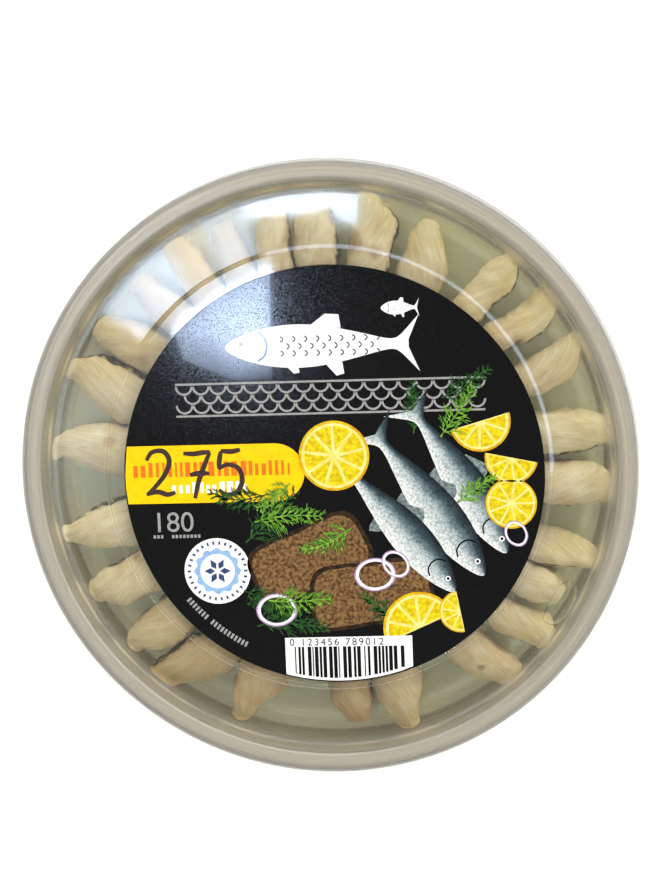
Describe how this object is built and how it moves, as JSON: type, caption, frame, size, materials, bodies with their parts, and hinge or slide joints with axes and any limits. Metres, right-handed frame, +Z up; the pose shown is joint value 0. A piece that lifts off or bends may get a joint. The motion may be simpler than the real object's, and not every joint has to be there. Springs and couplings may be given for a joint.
{
  "type": "tub of herring in oil",
  "caption": "Flat round clear tub with a clear snap lid and a round label, holding a ring of herring pieces in oil.",
  "frame": {"origin": "centre of the tub's foot ring, on the surface it stands on", "axes": "+Z up through the lid; +Y to the top of the label as it is read"},
  "size_m": [0.15, 0.15, 0.022],
  "materials": {
    "tub_plastic": "clear, thin walled",
    "lid_plastic": "clear, thin walled",
    "label_film": "satin print on film",
    "herring_flesh": "oily fish flesh"
  },
  "bodies": {
    "root": {"tub": "tub_plastic", "lid": "lid_plastic", "label": "label_film", "herring": "herring_flesh"}
  },
  "joints": []
}
